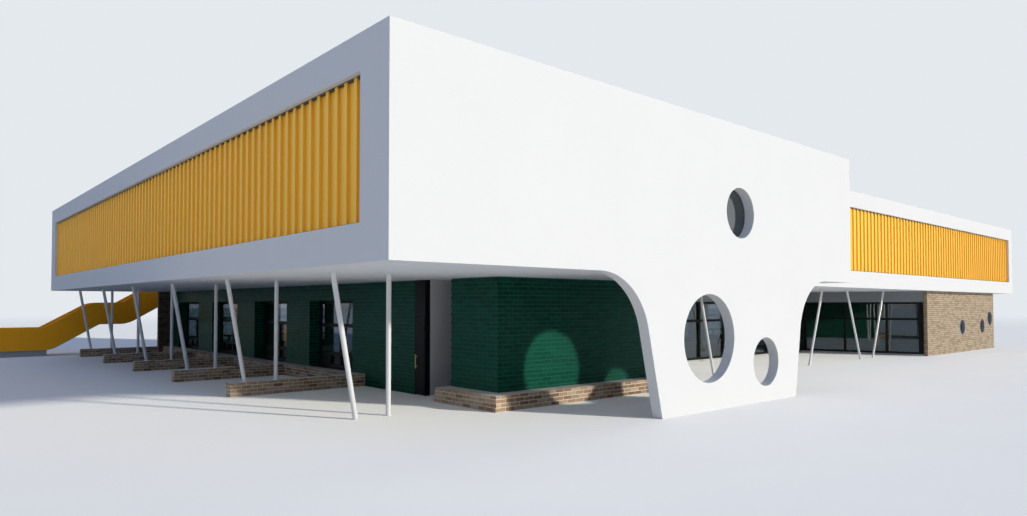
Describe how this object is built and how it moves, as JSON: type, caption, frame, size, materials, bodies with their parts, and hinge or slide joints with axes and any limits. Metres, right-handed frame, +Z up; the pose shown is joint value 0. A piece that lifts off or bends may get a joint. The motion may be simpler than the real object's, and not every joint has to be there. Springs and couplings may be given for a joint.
{
  "type": "two-storey school building, 1:2 scale model",
  "caption": "Half-size two-storey school: white upper boxes with yellow ribbed panels on a curved leg and slanted columns over glazed ground-floor rooms.",
  "frame": {"origin": "middle of the curved leg's foot, at ground level", "axes": "+X along the end wall towards the wing, +Y along the long side away from the end wall, +Z up"},
  "size_m": [29.425, 20.03, 4.23],
  "materials": {
    "white_render": "smooth painted render, matt",
    "soffit_board": "smooth painted soffit, matt",
    "roof_membrane": "matt sheet membrane",
    "yellow_cladding": "ribbed coated sheet, satin",
    "yellow_steel": "painted steel plate, satin",
    "green_glazed_brick": "glossy glazed brick with paler joints",
    "grey_render": "smooth painted render, matt",
    "black_frame": "powder coated, satin",
    "brass_handle": "brushed",
    "glass": "clear with a grey tint",
    "brown_brick": "dark brown face brick with dark joints",
    "buff_brick": "mixed brown and buff face brick with pale joints",
    "tan_brick": "tan face brick with pale joints",
    "concrete": "smooth cast concrete",
    "white_steel": "painted tube, satin"
  },
  "bodies": {
    "building": {"end_wall": "white_render", "left_wall": "white_render", "left_cladding": "yellow_cladding", "far_wall": "white_render", "side_walls": "white_render", "court_cladding": "yellow_cladding", "wing_front_wall": "white_render", "wing_front_cladding": "yellow_cladding", "wing_end_wall": "white_render", "wing_back_wall": "white_render", "upper_floor": "soffit_board", "roof_deck": "roof_membrane", "round_window_rings": "black_frame", "round_glass": "glass", "green_front": "green_glazed_brick", "green_block": "green_glazed_brick", "grey_return_wall": "grey_render", "entrance_screen": "black_frame", "window_frames": "black_frame", "window_glass": "glass", "service_frame": "black_frame", "far_brick_wall": "brown_brick", "court_side_wall": "green_glazed_brick", "court_back_wall": "green_glazed_brick", "glazed_wall_frame": "black_frame", "glazed_wall_glass": "glass", "glazing_bulkhead": "grey_render", "room_front_wall": "tan_brick", "room_side_wall": "tan_brick", "ground_floor": "concrete", "sill_wall": "buff_brick", "corner_seat": "buff_brick", "cross_walls": "buff_brick", "upright_columns": "white_steel", "slanted_columns": "white_steel", "wing_columns": "white_steel", "stair_side_plates": "yellow_steel", "stair_landing_panels": "yellow_steel", "stair_treads": "concrete", "stair_landings": "concrete", "stair_plinth": "concrete", "stair_posts": "white_steel", "upper_door": "black_frame"},
    "door": {"service_door": "black_frame", "service_handle": "brass_handle"}
  },
  "joints": [
    {"name": "service_hinge", "type": "hinge", "parent": "building", "child": "door", "pos_m": [-2.8205, 3.994, 0.65], "axis": [0, 0, 1], "range_deg": [0, 95]}
  ]
}
